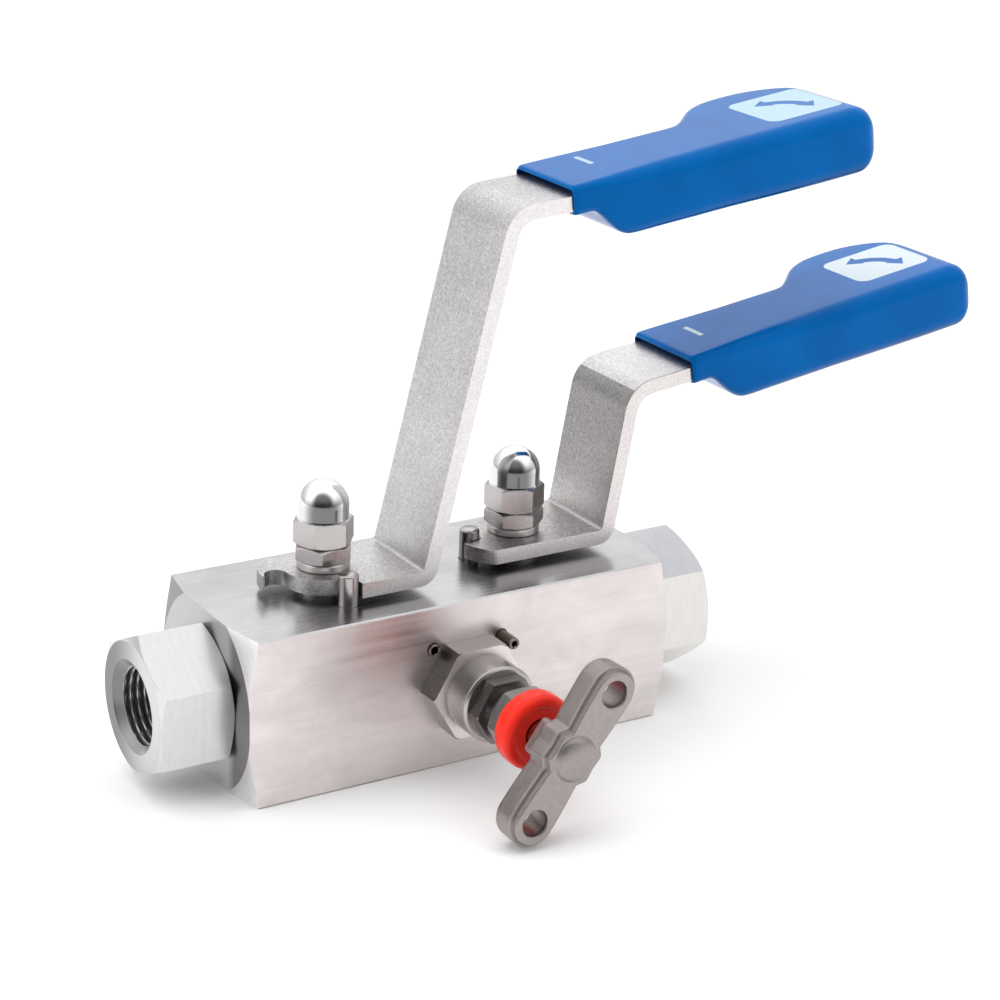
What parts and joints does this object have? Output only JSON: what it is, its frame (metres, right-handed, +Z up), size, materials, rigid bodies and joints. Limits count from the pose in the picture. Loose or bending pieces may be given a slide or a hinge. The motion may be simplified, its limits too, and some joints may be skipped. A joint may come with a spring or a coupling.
{
  "type": "double block and bleed valve manifold",
  "caption": "Steel bar-stock block with two lever-operated ball valves in line, hexagonal tapped ends and a needle bleed valve with a T-bar between them.",
  "frame": {"origin": "centre of the body's bottom face", "axes": "+X along the flow axis towards the right end connector, -Y from the body towards the bleed valve's T-bar, +Z up along the lever stems"},
  "size_m": [0.2374, 0.0995, 0.1481],
  "materials": {
    "body_steel": "drawn bar, fine brushing along the flow axis",
    "machined_steel": "turned, bright",
    "polished_steel": "polished stainless",
    "nut_steel": "satin stainless",
    "stem_steel": "turned stainless",
    "lever_steel": "bead-blasted stainless strip",
    "bonnet_steel": "turned stainless, slightly dull",
    "pin_steel": "rolled spring steel",
    "cast_steel": "investment cast, matt",
    "dark_steel": "black oxide",
    "blue_vinyl": "soft dipped vinyl, satin",
    "red_plastic": "moulded, satin",
    "ptfe": "filled white sealing plastic",
    "seal_rubber": "black seal rubber"
  },
  "bodies": {
    "valve_block": {"valve_body": "body_steel", "left_end_connector": "machined_steel", "right_end_connector": "machined_steel", "connector_o_rings": "seal_rubber", "seat_rings": "ptfe", "stem_thrust_washers": "ptfe", "stem_packings": "ptfe", "packing_glands": "stem_steel", "lever_stop_pins": "nut_steel", "bonnet_lock_pins": "pin_steel", "bleed_bonnet": "bonnet_steel", "bonnet_seal": "ptfe", "spindle_packing": "ptfe", "packing_follower": "stem_steel", "packing_bolt": "stem_steel", "packing_lock_nut": "dark_steel", "dust_cap": "red_plastic"},
    "left_lever_set": {"left_lever": "lever_steel", "left_grip": "blue_vinyl", "left_collar": "machined_steel", "left_jam_nut": "nut_steel", "left_acorn_nut": "polished_steel", "left_stem": "stem_steel", "left_ball": "polished_steel"},
    "right_lever_set": {"right_lever": "lever_steel", "right_grip": "blue_vinyl", "right_collar": "machined_steel", "right_jam_nut": "nut_steel", "right_acorn_nut": "polished_steel", "right_stem": "stem_steel", "right_ball": "polished_steel"},
    "needle": {"needle_tip": "stem_steel"},
    "bleed_handle": {"spindle": "stem_steel", "t_bar": "cast_steel", "t_bar_set_screw": "dark_steel"}
  },
  "joints": [
    {"name": "left_lever_turn", "type": "hinge", "parent": "valve_block", "child": "left_lever_set", "pos_m": [-0.0265, 0, 0.045], "axis": [0, 0, 1], "range_deg": [0, 90]},
    {"name": "right_lever_turn", "type": "hinge", "parent": "valve_block", "child": "right_lever_set", "pos_m": [0.0265, 0, 0.045], "axis": [0, 0, 1], "range_deg": [0, 90]},
    {"name": "needle_lift", "type": "slide", "parent": "valve_block", "child": "needle", "axis": [0, -1, 0], "range_m": [0, 0.00251]},
    {"name": "bleed_handle_turn", "type": "hinge", "parent": "needle", "child": "bleed_handle", "pos_m": [0, -0.066, 0.021], "axis": [0, -1, 0], "range_deg": [0, 720]}
  ],
  "couplings": [
    {"joint": "needle_lift", "follows": "bleed_handle_turn", "m_per_rad": 0.00019894}
  ]
}
